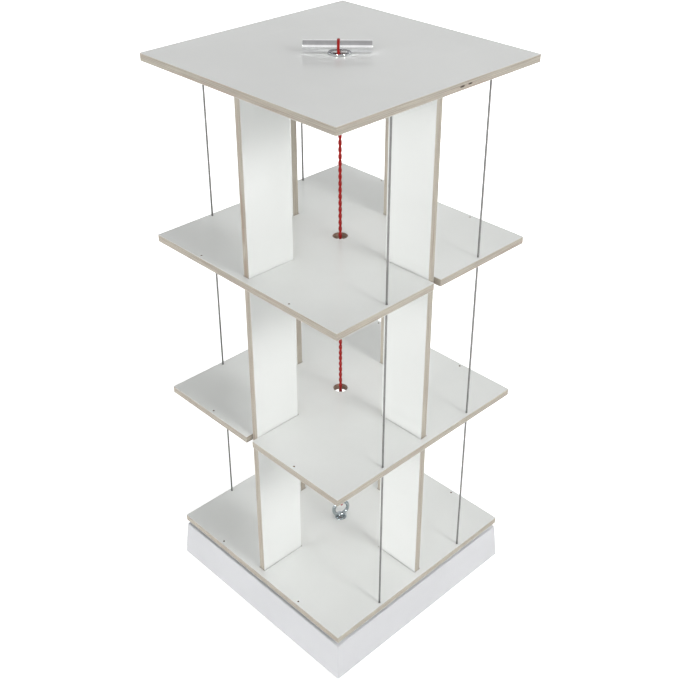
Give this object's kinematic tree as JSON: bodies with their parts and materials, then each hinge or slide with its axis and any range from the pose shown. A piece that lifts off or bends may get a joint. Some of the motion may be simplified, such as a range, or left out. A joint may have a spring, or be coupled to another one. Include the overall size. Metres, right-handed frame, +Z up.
{
  "type": "book tower",
  "caption": "Free-standing square book tower: laminated boards on set-in upright panels, clamped by a central twisted cord with a tommy bar, turning on a flared plinth.",
  "frame": {"origin": "on the floor under the centre of the tower", "axes": "+Z up, the front faces -Y, +X to the right seen from the front"},
  "size_m": [0.513, 0.513, 1.2199],
  "materials": {
    "laminated_ply": "white matt laminate on plywood with bare edges",
    "rod_steel": "drawn steel rod",
    "polished_metal": "polished",
    "red_cord": "braided cord, twisted double",
    "zinc_plate": "bright zinc plated",
    "bearing_steel": "plain steel",
    "cage_plastic": "moulded",
    "plinth_paint": "smooth satin paint on folded sheet",
    "glide_plastic": "moulded"
  },
  "bodies": {
    "base": {"plinth": "plinth_paint", "glide_1": "glide_plastic", "glide_2": "glide_plastic", "glide_3": "glide_plastic", "glide_4": "glide_plastic", "lower_ring": "bearing_steel", "lower_screw_1": "bearing_steel", "lower_screw_2": "bearing_steel", "lower_screw_3": "bearing_steel", "lower_screw_4": "bearing_steel"},
    "tower": {"bottom_board": "laminated_ply", "lower_shelf": "laminated_ply", "upper_shelf": "laminated_ply", "top_board": "laminated_ply", "front_long_panel": "laminated_ply", "front_short_panel": "laminated_ply", "back_long_panel": "laminated_ply", "back_short_panel": "laminated_ply", "right_long_panel": "laminated_ply", "right_short_panel": "laminated_ply", "left_long_panel": "laminated_ply", "left_short_panel": "laminated_ply", "right_rod_1": "rod_steel", "right_rod_2": "rod_steel", "left_rod_1": "rod_steel", "left_rod_2": "rod_steel", "cord": "red_cord", "eye_bolt": "zinc_plate", "eye_washer": "zinc_plate", "eye_nut": "zinc_plate", "upper_ring": "bearing_steel", "upper_screw_1": "bearing_steel", "upper_screw_2": "bearing_steel", "upper_screw_3": "bearing_steel", "upper_screw_4": "bearing_steel"},
    "cage": {"ball_cage": "cage_plastic", "ball_01": "bearing_steel", "ball_02": "bearing_steel", "ball_03": "bearing_steel", "ball_04": "bearing_steel", "ball_05": "bearing_steel", "ball_06": "bearing_steel", "ball_07": "bearing_steel", "ball_08": "bearing_steel", "ball_09": "bearing_steel", "ball_10": "bearing_steel", "ball_11": "bearing_steel", "ball_12": "bearing_steel"},
    "bar": {"tommy_bar": "polished_metal", "rosette": "polished_metal", "cord_loop": "red_cord"}
  },
  "joints": [
    {"name": "tower_swivel", "type": "hinge", "parent": "base", "child": "tower", "pos_m": [0, 0, 0.0928], "axis": [0, 0, 1], "continuous": true},
    {"name": "cage_roll", "type": "hinge", "parent": "base", "child": "cage", "pos_m": [0, 0, 0.0928], "axis": [0, 0, 1], "continuous": true},
    {"name": "bar_twist", "type": "hinge", "parent": "tower", "child": "bar", "pos_m": [0, 0, 1.2058], "axis": [0, 0, 1], "continuous": true}
  ],
  "couplings": [
    {"joint": "cage_roll", "follows": "tower_swivel", "ratio": 0.5}
  ]
}
